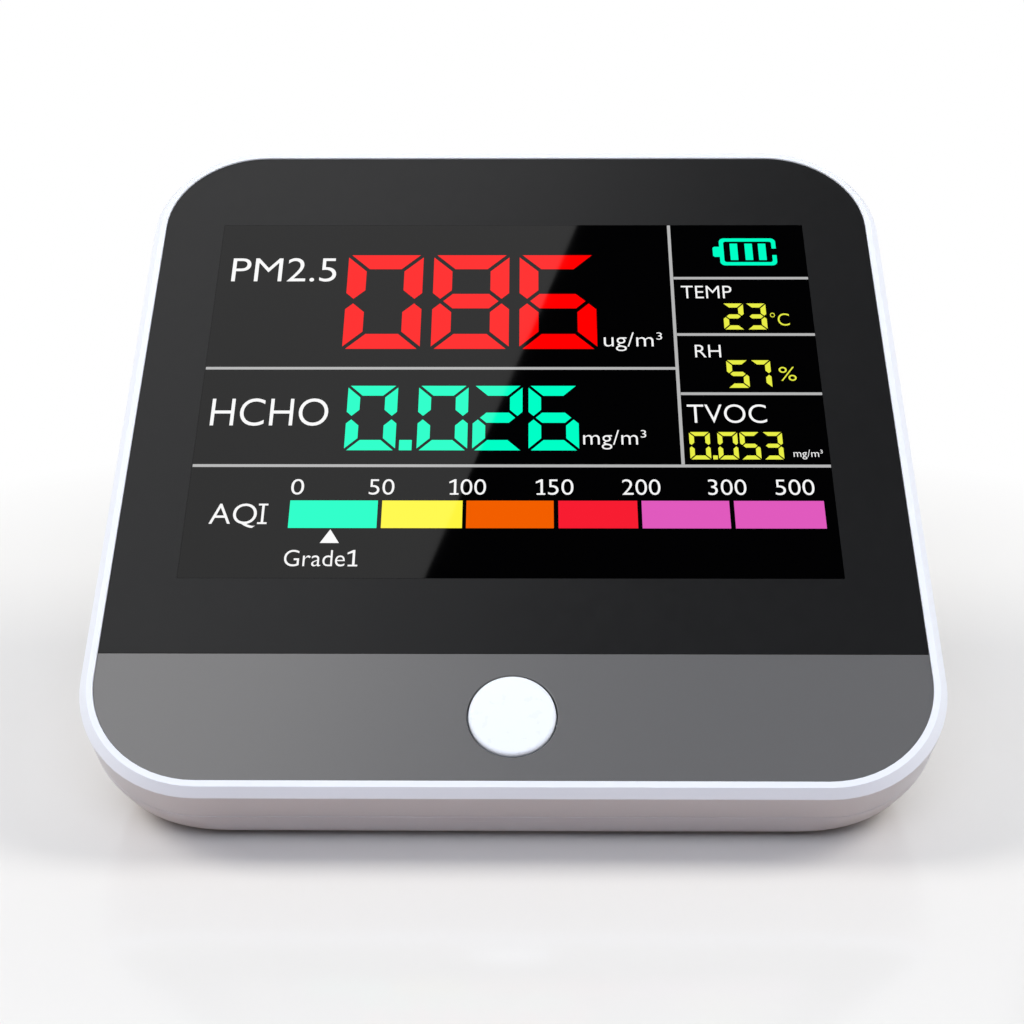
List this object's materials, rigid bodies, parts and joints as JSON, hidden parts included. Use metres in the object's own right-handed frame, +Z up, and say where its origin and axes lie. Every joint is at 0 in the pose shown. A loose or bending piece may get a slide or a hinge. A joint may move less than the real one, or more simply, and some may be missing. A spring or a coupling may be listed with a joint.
{
  "type": "air quality monitor",
  "caption": "Desktop air quality monitor: square face leaning back on a wedge housing, colour display, round push button, rear vents and USB inlet.",
  "frame": {"origin": "centre of the overall box at the bottom of the feet, where the monitor stands", "axes": "+X to the right seen from the front, +Y to the back, +Z up; the face looks towards -Y and up"},
  "size_m": [0.1036, 0.0868, 0.0753],
  "materials": {
    "shell_white": "satin moulded ABS",
    "panel_black": "satin coated acrylic",
    "display_glass": "polished",
    "strip_grey": "satin coated",
    "button_white": "fine satin",
    "black_plastic": "moulded",
    "switch_red": "moulded",
    "lcd_cell": "glass laminate",
    "light_guide": "diffusing acrylic",
    "steel": "bright tin plate",
    "screw_steel": "zinc plated",
    "flex_film": "polyimide film",
    "ivory_plastic": "moulded nylon",
    "board_green": "solder mask",
    "cell_foil": "laminated foil",
    "black_foam": "foam",
    "lead_red": "wire sleeve",
    "lead_black": "wire sleeve",
    "lead_white": "wire sleeve",
    "sensor_blue": "moulded",
    "laser_brass": "turned",
    "sensor_white": "moulded",
    "dust_net": "woven net",
    "foot_rubber": "matt",
    "lcd_red": "lit display segment",
    "lcd_green": "lit display segment",
    "lcd_yellow": "lit display segment",
    "lcd_orange": "lit display segment",
    "lcd_magenta": "lit display segment",
    "lcd_white": "lit display segment"
  },
  "bodies": {
    "housing": {"battery_cell": "cell_foil", "battery_connector": "ivory_plastic", "battery_lead": "lead_red", "battery_pad": "black_foam", "board_screw_1": "screw_steel", "board_screw_2": "screw_steel", "board_screw_3": "screw_steel", "board_screw_4": "screw_steel", "buzzer": "black_plastic", "case_screw_1": "screw_steel", "case_screw_2": "screw_steel", "case_screw_3": "screw_steel", "case_screw_4": "screw_steel", "charger_chip": "black_plastic", "control_panel": "strip_grey", "display_window": "display_glass", "foot_1": "foot_rubber", "foot_2": "foot_rubber", "foot_3": "foot_rubber", "foot_4": "foot_rubber", "front_bezel": "shell_white", "front_panel": "panel_black", "hcho_sensor": "sensor_white", "lcd_frame": "steel", "lcd_glass": "lcd_cell", "lcd_light_guide": "light_guide", "lcd_ribbon": "flex_film", "main_pcb": "board_green", "mcu_chip": "black_plastic", "pm_fan_motor": "black_plastic", "pm_laser_module": "laser_brass", "pm_optic_chamber": "black_plastic", "pm_sensor_case": "sensor_blue", "pm_sensor_lead": "lead_black", "pm_sensor_lid": "steel", "pm_sensor_pcb": "board_green", "power_connector": "ivory_plastic", "rear_cover": "shell_white", "ribbon_connector": "ivory_plastic", "sensor_board": "board_green", "sensor_connector": "ivory_plastic", "sensor_lead": "lead_white", "sensor_screw_1": "screw_steel", "sensor_screw_2": "screw_steel", "tact_switch_body": "black_plastic", "temp_humidity_sensor": "black_plastic", "tvoc_sensor": "steel", "usb_board": "board_green", "usb_lead": "lead_black", "usb_socket": "steel", "vent_mesh_left": "dust_net", "vent_mesh_right": "dust_net"},
    "button": {"button_cap": "button_white", "tact_switch_plunger": "switch_red"},
    "fan": {"pm_fan_rotor": "ivory_plastic"}
  },
  "joints": [
    {"name": "button_press", "type": "slide", "parent": "housing", "child": "button", "axis": [0, 0.6428, -0.766], "range_m": [0, 0.0005], "stiffness_N_per_m": 400},
    {"name": "fan_spin", "type": "hinge", "parent": "housing", "child": "fan", "pos_m": [-0.0275, 0.03651, 0.02684], "axis": [0, 0.9827, -0.185], "continuous": true}
  ]
}
